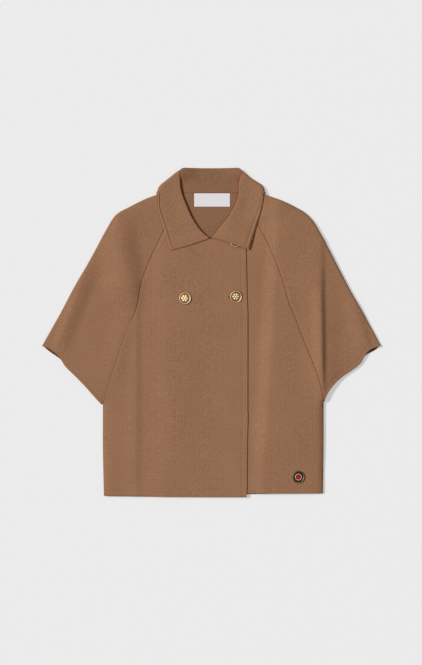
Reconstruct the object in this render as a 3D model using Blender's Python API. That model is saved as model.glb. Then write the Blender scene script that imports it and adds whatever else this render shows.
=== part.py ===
# Short cape-like jacket in a firm wool double knit, laid flat on its back.
# Metres, +Z up, +Y towards the neck, +X to the wearer's left. The origin is under the middle
# of the garment, on the surface it lies on. Tables are in millimetres and MM turns them to metres.

import bpy
import numpy as np

MM = 0.001

# Cloth and how the layers lie
CLOTH = 2.2 * MM          # thickness of the knit
SEAM = 0.3 * MM           # clearance between neighbouring pieces
AIR = 3.6 * MM            # air between back and front, away from the side seams
LAYER = CLOTH + SEAM      # height that one more layer adds
OVERLAP_RISE = 3.1 * MM   # height of the step where the top front rides over the under front
LEAF_EASE = 0.6 * MM      # what the collar's leaves stand off the fronts besides

# Grid sizes of the panels
SIDE_ROWS = 6             # rows from hem to underarm
RAGLAN_ROWS = 14          # rows from underarm to neck, shared by a panel and its sleeve
BACK_COLUMNS = 14
NECK_SEAM_COLUMNS = 6     # columns of a front, and of a leaf, along the sewn neckline
EXTENSION_COLUMNS = 5     # columns of a front past the collar's end
SHOULDER_COLUMNS = 5      # columns of a leaf along the sleeve's top
UPPER_COLUMNS = 10        # columns of a sleeve over the front, twice the leaf's
LOWER_COLUMNS = 6
ROLL_STEPS = 6            # steps round a folded edge

# Body outline
HEM_BACK = [(-215, -326), (0, -325), (223, -320)]
HEM_TOP_FRONT = [(-215, -327), (-60, -328.5), (70, -329)]
HEM_UNDER_FRONT = [(-67, -321), (71, -321.6), (223, -321.6)]
SIDE_RIGHT = [(-215, -327), (-217, -230), (-217, -143)]
SIDE_LEFT = [(223, -321.6), (224, -230), (224, -139)]
BACK_NECK = [(-66, 278.5), (0, 279), (64, 278.5)]

# Front edge of the top front: x for each y
EDGE_Y = [-329, -311, -211, -168, -153, 41, 67, 165, 205]
EDGE_X = [70.2, 71.4, 72.6, 74.4, 73.2, 73.8, 72.4, 69.8, 69.0]

# Upper end of each side seam, where front and back close, and how far in they do so
SIDE_SEAMS = [(-216.5, -143), (223.5, -139)]
SIDE_CLOSING = 34

# The under front reaches this far below the top front
UNDERLAP_X = -67
UNDERLAP_TOP = 150
UNDERLAP_NECK = [(-67, 150), (-20, 172), (3, 187)]
EXTENSION_NECK = [(-3, 187), (25, 190), (50, 198), (69, 205)]

# The top front rises from x to OVERLAP_FULL, x given for each y, and comes down past this line
OVERLAP_START = [(60, -142), (150, -118)]
OVERLAP_FULL = -94
OVERLAP_TOP = [(-67, 150), (-20, 172), (3, 187), (69, 208)]
OVERLAP_FADE = (12, 40)

# The left leaf comes down from the overlap over these stretches of y and x
LEAF_STEP_Y = (214, 240)
LEAF_STEP_X = (78, 102)

# Wearer's right (photo's left) and wearer's left, each from its own measured outline
RIGHT = dict(
    sign=-1,
    front_raglan=[(-82, 236), (-97, 203), (-111, 173), (-126, 141), (-141, 99), (-149, 55),
                  (-158, 29), (-175, -9), (-197, -79), (-217, -143)],
    back_raglan=[(-66, 278.5), (-92, 225), (-120, 160), (-143, 95), (-160, 40), (-180, -20),
                 (-200, -85), (-217, -143)],
    neck_seam=[(-3, 187), (-38, 195), (-62, 212), (-82, 236)],
    neck_shoulder=[(-82, 236), (-90, 262)],
    stand_side=[(-66, 323), (-80, 307)],
    shoulder=[(-95, 285.5), (-110, 276), (-135.8, 266.8), (-166.4, 250.6), (-184.8, 240.8),
              (-195.6, 230), (-204.8, 214.8), (-227, 174), (-255, 123.2), (-299, 43.8),
              (-338.6, -26.6)],
    cuff_front=[(-217, -145), (-255, -106), (-285, -76), (-293, -67), (-298, -58),
                (-304, -48.5)],
    cuff_back=[(-217, -145), (-255, -107), (-285, -79), (-300, -59), (-318, -45)],
    roll=[(-2, 190), (-13, 201), (-29, 225), (-43, 255), (-55, 285)],
    leaf_edge=[(-80.4, 163), (-87.4, 177.4), (-95, 206.2), (-101.8, 231), (-105.6, 250.2)],
    leaf_end=[(-9, 185.5), (-45, 173)],
    fall_side=[(-76, 309.5), (-88, 297.5), (-99, 289), (-104, 277.5)],
)
LEFT = dict(
    sign=1,
    front_raglan=[(84, 236), (99, 203), (109.6, 185), (121, 159), (135, 125), (145, 97),
                  (155, 59), (168.4, 27), (183, -11), (201, -55), (215, -94), (224, -139)],
    back_raglan=[(64, 278.5), (90, 225), (119, 160), (143, 95), (161, 40), (183, -20),
                 (205, -85), (224, -139)],
    neck_seam=[(3, 187), (40, 195), (64, 210), (84, 236)],
    neck_shoulder=[(84, 236), (88, 262)],
    stand_side=[(63, 323), (77, 307)],
    shoulder=[(92, 285.5), (107, 276), (143, 262), (176, 244.4), (192.6, 233.6),
              (205.8, 218.8), (218, 199), (237, 162.4), (262.4, 123.2), (300.6, 55.6),
              (338.6, -26)],
    cuff_front=[(224, -141), (233, -117), (247.6, -99.8), (262.4, -86.6), (281, -72),
                (290, -65), (301, -55), (305, -45), (313, -39)],
    cuff_back=[(224, -141), (234, -119), (263, -89), (291, -68), (306, -52), (322, -41)],
    roll=[(2, 190), (10, 199), (34, 231), (53, 269), (54.5, 295)],
    leaf_edge=[(75.5, 165), (79, 177), (86.6, 202.4), (98.2, 239), (103.8, 265.4)],
    leaf_end=[(9, 187), (29, 181)],
    fall_side=[(72.6, 307.5), (83.5, 297), (93, 290.5), (98.5, 285.5), (101.2, 277.5)],
)

# The collar's fall behind the neck lies under the back, inside this half ellipse
FALL_CENTRE = (-1, 292)
FALL_RADII = (112, 56)
FALL_END_ANGLE = 0.30     # radians between the ellipse's level axis and the fall's side
FALL_CLEAR = (1.30, 1.75) # in ellipse radii: the back lies over the fall, then comes down

# Collar grid
LEAF_COLUMNS = NECK_SEAM_COLUMNS + SHOULDER_COLUMNS
NECK_COLUMNS = 7          # along the back's neckline, half of the back's own columns
NECK_END_COLUMNS = 2      # along each sleeve's top behind the neck
STAND_ROWS = 3
FALL_ROWS = 6
COLLAR_TOP = 328.6        # y of the collar's fold behind the neck
FOLD_INSET = 2.3          # from there to the line that the fold turns round

# Soft ridges in the upper layer: crest from one point to another, reach on each side, height
RIDGES = [
    dict(name="cape fold, left", start=(208, 150), end=(212, -120), before=55, after=17, height=5),
    dict(name="outer roll, left", start=(252, 110), end=(286, -40), before=36, after=40, height=5),
    dict(name="shoulder drop, left", start=(165, 215), end=(200, 130), before=40, after=45, height=2.5),
    dict(name="cape fold, right", start=(-186, 190), end=(-196, -30), before=60, after=42, height=5),
    dict(name="outer roll, right", start=(-262, 90), end=(-290, -30), before=40, after=36, height=3.5),
    dict(name="beside the overlap", start=(128, 40), end=(128, -290), before=50, after=80, height=2),
    dict(name="chest, right", start=(-100, 120), end=(-190, -250), before=40, after=50, height=1.6),
]

RIDGE_START_FADE = (-0.35, 0.25)   # shares of a crest's length over which it comes up
RIDGE_END_FADE = (-0.25, 0.25)     # and goes down again past its end

# Buttons, badge and label
BUTTONS = dict(button_chest=(-52.6, 68.2), button_edge=(49.0, 71.2), button_neck=(48.6, 183.0))
BUTTON_RADIUS = 11.75 * MM
BUTTON_SIDES = 24
BUTTON_CLEAR = 4.1 * MM   # the leaf's rise over the button below it
BUTTON_COVER = (13, 48)   # from full rise to none, away from the button's middle
SHANK_RADIUS = 4.0 * MM
# radius as a share of the button's, and height above the cloth
BUTTON_PROFILE = [(0.34, 0.0), (0.34, 0.9), (0.80, 1.0), (0.97, 1.7), (1.00, 2.5), (0.95, 3.2),
                  (0.84, 3.4), (0.76, 2.9), (0.50, 3.3), (0.22, 3.6)]
BADGE_CENTRE = (173.2, -288.0)
BADGE_RADIUS = 12.0 * MM
BADGE_SIDES = 28
BADGE_PROFILE = [(0.90, 0.0), (1.00, 0.5), (1.00, 1.3), (0.95, 1.8), (0.86, 1.8), (0.82, 1.4),
                 (0.40, 1.6)]
LABEL_CORNERS = dict(left=-34.4, right=37.2, low=251.2, high=278.0)
LABEL_THICKNESS = 0.6 * MM
LABEL_COLUMNS = 8
LABEL_ROWS = 3


def step_up(value, start, end):
    # smooth step: 0 before start, 1 after end, with level ends
    t = np.clip((value - start) / (end - start), 0, 1)
    return t * t * (3 - 2 * t)


def smooth_curve(points, count):
    # Catmull-Rom curve through the points, cut into count pieces of equal length, in metres
    p = np.array(points, float)
    ends = np.vstack([2 * p[0] - p[1], p, 2 * p[-1] - p[-2]])
    fine = []
    t = np.linspace(0, 1, 12, endpoint=False)[:, None]
    for a, b, c, d in zip(ends, ends[1:], ends[2:], ends[3:]):
        fine.append(0.5 * (2 * b + (c - a) * t + (2 * a - 5 * b + 4 * c - d) * t ** 2
                           + (3 * b - a - 3 * c + d) * t ** 3))
    fine = np.vstack(fine + [p[-1:]])
    length = np.concatenate([[0], np.cumsum(np.linalg.norm(np.diff(fine, axis=0), axis=1))])
    at = np.linspace(0, length[-1], count + 1)
    return np.stack([np.interp(at, length, fine[:, 0]),
                     np.interp(at, length, fine[:, 1])], axis=1) * MM


def joined(*curves):
    # curves laid end to end, with each shared point kept once
    return np.vstack([curves[0]] + [c[1:] for c in curves[1:]])


def side_normals(line, sign):
    # unit vectors square to a line in plan, on the outer side
    t = np.gradient(line, axis=0)
    n = np.stack([t[:, 1], -t[:, 0]], axis=1)
    n /= np.linalg.norm(n, axis=1)[:, None]
    outer = np.sign(n[len(n) // 2, 0]) * sign
    return n * outer


def moved(line, distance, sign):
    # the line moved outwards in plan, or inwards where the distance is negative
    return line + side_normals(line, sign) * distance


def patch(low, high, first, last):
    # Coons patch: each point is the blend of the four edges less the blend of the four corners.
    # low and high run along u, first and last run along v
    u = np.linspace(0, 1, len(low))[:, None, None]
    v = np.linspace(0, 1, len(first))[None, :, None]
    low, high = low[:, None, :], high[:, None, :]
    first, last = first[None, :, :], last[None, :, :]
    edges = (1 - v) * low + v * high + (1 - u) * first + u * last
    corners = ((1 - u) * (1 - v) * low[:1] + u * (1 - v) * low[-1:]
               + (1 - u) * v * high[:1] + u * v * high[-1:])
    return edges - corners


def back_lift(x, y):
    # one layer up where the collar's fall lies under the back
    radius = np.hypot((x - FALL_CENTRE[0] * MM) / (FALL_RADII[0] * MM),
                      (y - FALL_CENTRE[1] * MM) / (FALL_RADII[1] * MM))
    return LAYER * (1 - step_up(radius, *FALL_CLEAR))


def ridge_height(x, y):
    # cosine ridges: full height on the crest, nothing at their reach and past their ends
    total = np.zeros_like(x)
    for ridge in RIDGES:
        start = np.array(ridge["start"]) * MM
        end = np.array(ridge["end"]) * MM
        length = np.linalg.norm(end - start)
        along = (end - start) / length
        s = (x - start[0]) * along[0] + (y - start[1]) * along[1]
        off = ((y - start[1]) * along[0] - (x - start[0]) * along[1]) * np.sign(along[1])
        reach = np.where(off < 0, ridge["after"], ridge["before"]) * MM
        across = np.cos(np.clip(off / reach, -1, 1) * np.pi / 2) ** 2
        fade = (step_up(s / length, *RIDGE_START_FADE)
                * step_up(1 - s / length, *RIDGE_END_FADE))
        total = total + ridge["height"] * MM * across * fade
    return total


def side_closing(x, y):
    # 0 on the side seams, 1 from a little way inside them
    away = [np.hypot(x - sx * MM, np.maximum(y - top * MM, 0)) for sx, top in SIDE_SEAMS]
    return step_up(np.minimum(*away), 0, SIDE_CLOSING * MM)


def upper_base(x, y):
    # underside of the cloth that lies on the back
    return back_lift(x, y) + LAYER + side_closing(x, y) * (AIR + ridge_height(x, y))


def overlap(x, y):
    # 0 to 1: where the top front rides up over the edge of the under front
    start_y, start_x = np.array(OVERLAP_START).T * MM
    start = np.interp(y, start_y, start_x)
    across = step_up((x - start) / (OVERLAP_FULL * MM - start), 0, 1)
    top_x, top_y = np.array(OVERLAP_TOP).T * MM
    fade_start, fade_end = np.array(OVERLAP_FADE) * MM
    return across * (1 - step_up(y - np.interp(x, top_x, top_y), fade_start, fade_end))


def top_front_base(x, y):
    # underside of the front that laps on top
    return upper_base(x, y) + OVERLAP_RISE * overlap(x, y)


def leaf_base(x, y):
    # underside of the collar leaves: one layer over the fronts, two over the overlap,
    # and clear of the button under the left leaf
    (low_y, high_y), (low_x, high_x) = np.array(LEAF_STEP_Y) * MM, np.array(LEAF_STEP_X) * MM
    left = (1 - step_up(y, low_y, high_y)) * (1 - step_up(x, low_x, high_x))
    on_front = np.where(x < 0, overlap(x, y), left)
    bx, by = BUTTONS["button_neck"]
    away = np.hypot(x - bx * MM, y - by * MM)
    near, far = np.array(BUTTON_COVER) * MM
    over_button = np.where(x > 0, BUTTON_CLEAR * (1 - step_up(away, near, far)), 0)
    return upper_base(x, y) + LAYER + OVERLAP_RISE * on_front + over_button + LEAF_EASE


def with_height(plan, height):
    # plan points with their heights
    return np.concatenate([plan, height(plan[..., 0], plan[..., 1])[..., None]], axis=-1)


def panel_mesh(name, outer, inner):
    # closed sheet: outer grid, inner grid and the four edges between them
    m, n = outer.shape[:2]
    index = np.arange(m * n).reshape(m, n)
    a, b = index[:-1, :-1].ravel(), index[1:, :-1].ravel()
    c, d = index[1:, 1:].ravel(), index[:-1, 1:].ravel()
    faces = [np.stack([a, b, c], 1), np.stack([a, c, d], 1)]
    faces += [f[:, ::-1] + m * n for f in faces]
    rim = np.concatenate([index[:, 0], index[-1, 1:], index[-2::-1, -1], index[0, -2::-1]])
    p, q = rim[:-1], rim[1:]
    faces += [np.stack([q, p, p + m * n], 1), np.stack([q, p + m * n, q + m * n], 1)]
    vertices = np.concatenate([outer.reshape(-1, 3), inner.reshape(-1, 3)])
    return add_piece(name, vertices, np.concatenate(faces))


def turned_mesh(name, centre, base, radius, profile, sides):
    # profile turned round a vertical axis, closed at its foot and its top by one face each
    angles = np.linspace(0, 2 * np.pi, sides, endpoint=False)
    rings = []
    for share, height in profile:
        ring = np.stack([centre[0] * MM + share * radius * np.cos(angles),
                         centre[1] * MM + share * radius * np.sin(angles),
                         np.full(sides, base + height * MM)], axis=1)
        rings.append(ring)
    faces = []
    for k in range(len(profile) - 1):
        for i in range(sides):
            j = (i + 1) % sides
            faces.append((k * sides + i, k * sides + j, (k + 1) * sides + j, (k + 1) * sides + i))
    faces.append(tuple(reversed(range(sides))))
    top = (len(profile) - 1) * sides
    faces.append(tuple(range(top, top + sides)))
    return add_piece(name, np.concatenate(rings), faces)


def add_piece(name, vertices, faces):
    mesh = bpy.data.meshes.new(name)
    mesh.from_pydata([tuple(map(float, v)) for v in vertices], [],
                     [tuple(map(int, f)) for f in faces])
    mesh.validate()
    piece = bpy.data.objects.new(name, mesh)
    bpy.context.scene.collection.objects.link(piece)
    outward(mesh)
    mesh.shade_smooth()
    mesh.set_sharp_from_angle(angle=0.7)
    return piece


def outward(mesh):
    # turn all faces round where the closed mesh has them pointing in
    points = np.empty(len(mesh.vertices) * 3)
    mesh.vertices.foreach_get("co", points)
    points = points.reshape(-1, 3)
    volume = 0.0
    for face in mesh.polygons:
        v = points[list(face.vertices)]
        for k in range(1, len(v) - 1):
            volume += np.dot(v[0], np.cross(v[k], v[k + 1]))
    if volume < 0:
        mesh.flip_normals()


def give_material(piece, name, colour, roughness, metallic=0.0):
    # Principled finish, its colour given as sRGB hex
    srgb = [int(colour[k:k + 2], 16) / 255 for k in (1, 3, 5)]
    linear = [c / 12.92 if c <= 0.04045 else ((c + 0.055) / 1.055) ** 2.4 for c in srgb]
    material = bpy.data.materials.get(name) or bpy.data.materials.new(name)
    material.use_nodes = True
    shader = material.node_tree.nodes["Principled BSDF"]
    shader.inputs["Base Color"].default_value = (*linear, 1)
    shader.inputs["Roughness"].default_value = roughness
    shader.inputs["Metallic"].default_value = metallic
    piece.data.materials.append(material)


def flat_sheet(name, plan, underside):
    # cloth of even thickness over its plan
    under = with_height(plan, underside)
    upper = under + np.array([0, 0, CLOTH])
    return panel_mesh(name, upper, under)


def shoulder_line(side):
    # outline of the folded edge from the collar's fold to the cuff's tip: outline, normals
    # and the line that the fold turns round, with the part that belongs to the collar's stand
    stand = smooth_curve(side["stand_side"] + side["shoulder"][:1], STAND_ROWS)
    sleeve = smooth_curve(side["shoulder"], RAGLAN_ROWS)
    outline = joined(stand, sleeve)
    normal = side_normals(outline, side["sign"])
    upper = upper_base(outline[:, 0], outline[:, 1]) + CLOTH / 2
    lower = back_lift(outline[:, 0], outline[:, 1]) + CLOTH / 2
    turning = outline - normal * ((upper - lower) / 2 + CLOTH / 2)[:, None]
    return (turning[:STAND_ROWS + 1], turning[STAND_ROWS:],
            normal[:STAND_ROWS + 1], normal[STAND_ROWS:])


def folded_edge(line, normal, upper, lower):
    # half turns from the upper layer to the lower one round a line: middle points and normals
    angle = np.linspace(0, np.pi, ROLL_STEPS + 1)[1:-1, None, None]
    radius = ((upper - lower) / 2)[None, :, None]
    centre = ((upper + lower) / 2)[None, :, None]
    out = normal[None, :, :]
    plan = line[None, :, :] + radius * np.sin(angle) * out
    height = centre + radius * np.cos(angle)
    middle = np.concatenate([plan, height], axis=-1)
    facing = np.concatenate([np.sin(angle) * out, np.cos(angle) * np.ones_like(height)], axis=-1)
    return middle, facing


def build_back():
    left = joined(smooth_curve(SIDE_LEFT, SIDE_ROWS),
                  moved(smooth_curve(LEFT["back_raglan"][::-1], RAGLAN_ROWS), -SEAM / 2, 1))
    right = joined(smooth_curve(SIDE_RIGHT, SIDE_ROWS),
                   moved(smooth_curve(RIGHT["back_raglan"][::-1], RAGLAN_ROWS), -SEAM / 2, -1))
    neck = smooth_curve(BACK_NECK, BACK_COLUMNS)
    hem = smooth_curve(HEM_BACK, BACK_COLUMNS)
    neck[0], neck[-1] = right[-1], left[-1]
    hem[0], hem[-1] = right[0], left[0]
    return flat_sheet("back", patch(hem, neck, right, left), back_lift)


def build_top_front():
    # wearer's right front, on top
    side = joined(smooth_curve(SIDE_RIGHT, SIDE_ROWS),
                  moved(smooth_curve(RIGHT["front_raglan"][::-1], RAGLAN_ROWS), -SEAM / 2, -1))
    share = (side[:, 1] - side[0, 1]) / (side[-1, 1] - side[0, 1])
    edge_y = EDGE_Y[0] + share * (EDGE_Y[-1] - EDGE_Y[0])
    edge = np.stack([np.interp(edge_y, EDGE_Y, EDGE_X), edge_y], axis=1) * MM
    neck = joined(smooth_curve(RIGHT["neck_seam"][::-1], NECK_SEAM_COLUMNS),
                  smooth_curve(EXTENSION_NECK, EXTENSION_COLUMNS))
    hem = smooth_curve(HEM_TOP_FRONT, NECK_SEAM_COLUMNS + EXTENSION_COLUMNS)
    neck[0], neck[-1] = side[-1], edge[-1]
    hem[0], hem[-1] = side[0], edge[0]
    return flat_sheet("front_right", patch(hem, neck, side, edge), top_front_base)


def build_under_front():
    # wearer's left front, which reaches under the other one
    side = joined(smooth_curve(SIDE_LEFT, SIDE_ROWS),
                  moved(smooth_curve(LEFT["front_raglan"][::-1], RAGLAN_ROWS), -SEAM / 2, 1))
    share = (side[:, 1] - side[0, 1]) / (side[-1, 1] - side[0, 1])
    low, high = HEM_UNDER_FRONT[0][1], UNDERLAP_TOP
    edge = np.stack([np.full(len(share), float(UNDERLAP_X)), low + share * (high - low)], axis=1) * MM
    neck = joined(smooth_curve(UNDERLAP_NECK, EXTENSION_COLUMNS),
                  smooth_curve(LEFT["neck_seam"], NECK_SEAM_COLUMNS))
    hem = smooth_curve(HEM_UNDER_FRONT, NECK_SEAM_COLUMNS + EXTENSION_COLUMNS)
    neck[0], neck[-1] = edge[-1], side[-1]
    hem[0], hem[-1] = edge[0], side[0]
    return flat_sheet("front_left", patch(hem, neck, edge, side), upper_base)


def build_sleeve(name, side):
    # two pieces: over the front with the shoulder's fold, and the back half behind its seam
    sign = side["sign"]
    _, turning, _, normal = shoulder_line(side)
    tip = turning[-1]
    raglan = moved(smooth_curve(side["front_raglan"], RAGLAN_ROWS), SEAM / 2, sign)
    neck = smooth_curve(side["neck_shoulder"] + [tuple(turning[0] / MM)], UPPER_COLUMNS)
    cuff = smooth_curve(side["cuff_front"] + [tuple(tip / MM)], UPPER_COLUMNS)
    neck[0], cuff[0] = raglan[0], raglan[-1]
    upper_plan = patch(neck, cuff, raglan, turning)

    raglan = moved(smooth_curve(side["back_raglan"], RAGLAN_ROWS), SEAM / 2, sign)
    neck = np.linspace(turning[0], raglan[0], LOWER_COLUMNS + 1)
    cuff = smooth_curve([tuple(tip / MM)] + side["cuff_back"][::-1], LOWER_COLUMNS)
    cuff[-1] = raglan[-1]
    lower_plan = patch(neck, cuff, turning, raglan)

    upper = with_height(upper_plan, lambda x, y: upper_base(x, y) + CLOTH / 2)
    lower = with_height(lower_plan, lambda x, y: back_lift(x, y) + CLOTH / 2)
    roll, facing = folded_edge(turning, normal, upper[-1, :, 2], lower[0, :, 2])
    up = np.zeros_like(upper) + np.array([0, 0, 1.0])
    down = np.zeros_like(lower[:1]) - np.array([0, 0, 1.0])
    middle = np.concatenate([upper, roll, lower[:1]])
    facing = np.concatenate([up, facing, down])
    front = panel_mesh(name, middle + facing * CLOTH / 2, middle - facing * CLOTH / 2)
    lower_plan[0] -= normal * SEAM
    return [front, flat_sheet(name + "_back", lower_plan, back_lift)]


def leaf_columns(side):
    # stand and fall of one leaf in plan, column by column from its front end to the neck's side
    turning, _, normal, _ = shoulder_line(side)
    seam_end, fold_end = turning[-1], turning[0]
    shoulder = smooth_curve(side["neck_shoulder"] + [tuple(seam_end / MM)], UPPER_COLUMNS)
    seam = joined(smooth_curve(side["neck_seam"], NECK_SEAM_COLUMNS), shoulder[::2])
    roll = smooth_curve(side["roll"] + [tuple(fold_end / MM)], LEAF_COLUMNS)
    inward = roll - seam
    inward /= np.linalg.norm(inward, axis=1)[:, None]
    roll[:-1] -= (inward * (LAYER / 2 + CLOTH / 2))[:-1]
    seam += inward * SEAM
    front = np.linspace(seam[0], roll[0], STAND_ROWS + 1)
    stand_side = turning[::-1].copy()
    stand_side[0] = seam[-1]
    stand = patch(seam, roll, front, stand_side)

    fall_side = smooth_curve([tuple(fold_end / MM)] + side["fall_side"], FALL_ROWS)
    edge = smooth_curve(side["leaf_edge"] + side["fall_side"][-1:], LEAF_COLUMNS)
    end = smooth_curve([tuple(roll[0] / MM)] + side["leaf_end"] + side["leaf_edge"][:1], FALL_ROWS)
    fall = patch(roll, edge, end, fall_side)
    fall_normal = side_normals(fall_side, side["sign"])
    return stand, fall, stand_side, normal[::-1], fall_side, fall_normal


def collar_columns(stand, fall, inward):
    # one column for each place round the neck: stand, roll over the fold, fall.
    # The roll is a half circle between the end of the stand and the start of the fall
    a, b = stand["middle"][:, -1], fall["middle"][:, 0]
    centre, half = (a + b) / 2, (b - a) / 2
    radius = np.linalg.norm(half, axis=1)[:, None]
    middle, facing = [stand["middle"]], [-stand["facing"]]
    for angle in np.linspace(0, np.pi, ROLL_STEPS)[1:-1]:
        middle.append((centre - half * np.cos(angle) + inward * radius * np.sin(angle))[:, None])
        facing.append((inward * np.sin(angle) - half / radius * np.cos(angle))[:, None])
    middle.append(fall["middle"])
    facing.append(fall["facing"])
    return np.concatenate(middle, axis=1), np.concatenate(facing, axis=1)


def lying(plan, height, up):
    # a stretch of collar that lies level: its middle points, and up or down as its facing
    middle = with_height(plan, lambda x, y: height(x, y) + CLOTH / 2)
    return dict(middle=middle, facing=np.zeros_like(middle) + np.array([0, 0, float(up)]))


def level_floor(x, y):
    return np.zeros_like(x)


def build_collar():
    sides = []
    for side in (RIGHT, LEFT):
        stand, fall, stand_line, stand_normal, fall_line, fall_normal = leaf_columns(side)
        neck_level = upper_base if side is LEFT else top_front_base
        inward = stand[:, -1] - stand[:, 0]
        inward = inward / np.linalg.norm(inward, axis=1)[:, None]
        inward = np.concatenate([inward, np.zeros((len(inward), 1))], axis=1)
        stand_top = lying(stand, neck_level, 1)
        fall_top = lying(fall, leaf_base, 1)
        stand_low = back_lift(stand_line[:, 0], stand_line[:, 1]) + CLOTH / 2
        fall_low = np.full(len(fall_line), CLOTH / 2)
        s_mid, s_face = folded_edge(stand_line, stand_normal,
                                    stand_top["middle"][-1, :, 2], stand_low)
        f_mid, f_face = folded_edge(fall_line, fall_normal,
                                    fall_top["middle"][-1, :, 2], fall_low)
        turn = dict(stand=dict(middle=s_mid, facing=s_face), fall=dict(middle=f_mid, facing=f_face))
        turn["inward"] = np.repeat(inward[-1:], len(s_mid), axis=0)
        sides.append(dict(stand=stand_top, fall=fall_top, inward=inward, turn=turn,
                          stand_line=stand_line, fall_line=fall_line))

    right, left = sides
    columns = NECK_COLUMNS + 2 * NECK_END_COLUMNS
    top = smooth_curve([tuple(right["stand_line"][-1] / MM)]
                       + [(x, COLLAR_TOP - FOLD_INSET) for x in (-45, 0, 45)]
                       + [tuple(left["stand_line"][-1] / MM)], columns)
    neck = smooth_curve(BACK_NECK, NECK_COLUMNS) + np.array([0, SEAM])
    seam = joined(np.linspace(right["stand_line"][0], neck[0], NECK_END_COLUMNS + 1), neck,
                  np.linspace(neck[-1], left["stand_line"][0], NECK_END_COLUMNS + 1))
    stand = patch(seam, top, right["stand_line"], left["stand_line"])
    angles = np.linspace(np.pi + FALL_END_ANGLE, 2 * np.pi - FALL_END_ANGLE, 9)
    ellipse = [(FALL_CENTRE[0] + FALL_RADII[0] * np.cos(a),
                FALL_CENTRE[1] + FALL_RADII[1] * np.sin(a)) for a in angles[1:-1]]
    edge = smooth_curve([tuple(right["fall_line"][-1] / MM)] + ellipse
                        + [tuple(left["fall_line"][-1] / MM)], columns)
    fall = patch(top, edge, right["fall_line"], left["fall_line"])
    behind_in = stand[:, -1] - stand[:, 0]
    behind_in = behind_in / np.linalg.norm(behind_in, axis=1)[:, None]
    behind_in = np.concatenate([behind_in, np.zeros((len(behind_in), 1))], axis=1)

    def backwards(stretch):
        return dict(middle=stretch["middle"][::-1], facing=stretch["facing"][::-1])

    order = [(right["stand"], right["fall"], right["inward"]),
             (right["turn"]["stand"], right["turn"]["fall"], right["turn"]["inward"]),
             (lying(stand, back_lift, -1), lying(fall, level_floor, -1), behind_in),
             (backwards(left["turn"]["stand"]), backwards(left["turn"]["fall"]),
              left["turn"]["inward"]),
             (backwards(left["stand"]), backwards(left["fall"]), left["inward"][::-1])]
    parts = [collar_columns(*stretch) for stretch in order]
    middle = np.concatenate([p[0] for p in parts])
    facing = np.concatenate([p[1] for p in parts])
    return panel_mesh("collar", middle + facing * CLOTH / 2, middle - facing * CLOTH / 2)


def top_front_surface(x, y):
    return top_front_base(x, y) + CLOTH


def seat_height(surface, centre, radius):
    # highest point of the cloth under a round piece, plus the clearance
    angles = np.linspace(0, 2 * np.pi, 16)
    x = centre[0] * MM + radius * np.cos(angles)
    y = centre[1] * MM + radius * np.sin(angles)
    x = np.append(x, centre[0] * MM)
    y = np.append(y, centre[1] * MM)
    return float(np.max(surface(x, y))) + SEAM


def build_label():
    x = np.linspace(LABEL_CORNERS["left"], LABEL_CORNERS["right"], LABEL_COLUMNS + 1) * MM
    y = np.linspace(LABEL_CORNERS["low"], LABEL_CORNERS["high"], LABEL_ROWS + 1) * MM
    plan = np.stack(np.meshgrid(x, y, indexing="ij"), axis=-1)
    under = with_height(plan, lambda x, y: back_lift(x, y) + LAYER)
    return panel_mesh("neck_label", under + np.array([0, 0, LABEL_THICKNESS]), under)


def build_all():
    for old in list(bpy.data.objects):
        bpy.data.objects.remove(old)
    knit = dict(name="wool knit", colour="#926c51", roughness=0.95)
    pieces = [build_back(), build_top_front(), build_under_front(), build_collar()]
    pieces += build_sleeve("sleeve_right", RIGHT) + build_sleeve("sleeve_left", LEFT)
    for piece in pieces:
        give_material(piece, **knit)
    for name, centre in BUTTONS.items():
        base = seat_height(top_front_surface, centre, SHANK_RADIUS)
        button = turned_mesh(name, centre, base, BUTTON_RADIUS, BUTTON_PROFILE, BUTTON_SIDES)
        give_material(button, "gilt brass", "#c09a62", 0.32, 1.0)
    base = seat_height(lambda x, y: upper_base(x, y) + CLOTH, BADGE_CENTRE, BADGE_RADIUS)
    badge = turned_mesh("badge", BADGE_CENTRE, base, BADGE_RADIUS, BADGE_PROFILE, BADGE_SIDES)
    give_material(badge, "enamelled metal", "#2c3a2c", 0.3, 0.3)
    give_material(build_label(), "woven label", "#e4e2e4", 0.8)


build_all()
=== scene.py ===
# Short wool cape jacket in a firm double knit, laid flat on a light table
import math

import bpy
import numpy as np
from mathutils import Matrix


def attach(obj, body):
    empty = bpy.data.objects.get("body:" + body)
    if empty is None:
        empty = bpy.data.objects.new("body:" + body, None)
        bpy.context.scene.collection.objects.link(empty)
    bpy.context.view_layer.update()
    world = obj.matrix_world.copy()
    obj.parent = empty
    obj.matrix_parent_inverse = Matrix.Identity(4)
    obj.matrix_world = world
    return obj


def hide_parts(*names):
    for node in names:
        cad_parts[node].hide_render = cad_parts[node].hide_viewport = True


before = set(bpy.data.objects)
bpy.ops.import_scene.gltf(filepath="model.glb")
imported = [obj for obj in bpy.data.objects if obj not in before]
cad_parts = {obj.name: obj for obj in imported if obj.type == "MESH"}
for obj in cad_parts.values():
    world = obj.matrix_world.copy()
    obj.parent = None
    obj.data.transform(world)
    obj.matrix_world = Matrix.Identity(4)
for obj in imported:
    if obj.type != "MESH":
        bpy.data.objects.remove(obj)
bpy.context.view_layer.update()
print("frame loaded:", ", ".join(sorted(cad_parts)))

mm = 0.001

# How the cloth lies, all in millimetres
cloth = dict(thickness=1.8, seam=0.3, sewn=0.04, air=3.6, neckAir=1.2, overlapRise=2.1, leafEase=0.4,
             neckY=250, neckReach=(60, 125),    # where the air is thinner, and how far round it
             cuffFold=8.0,      # depth of the turned-up cuff
             reverseAndShade=0.27)      # share of the darkening on the fabric's reverse where it shows in open light: partly its duller colour, partly painted shade inside the neck
layer = cloth["thickness"] + cloth["seam"]
half = cloth["thickness"] / 2 * mm

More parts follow.
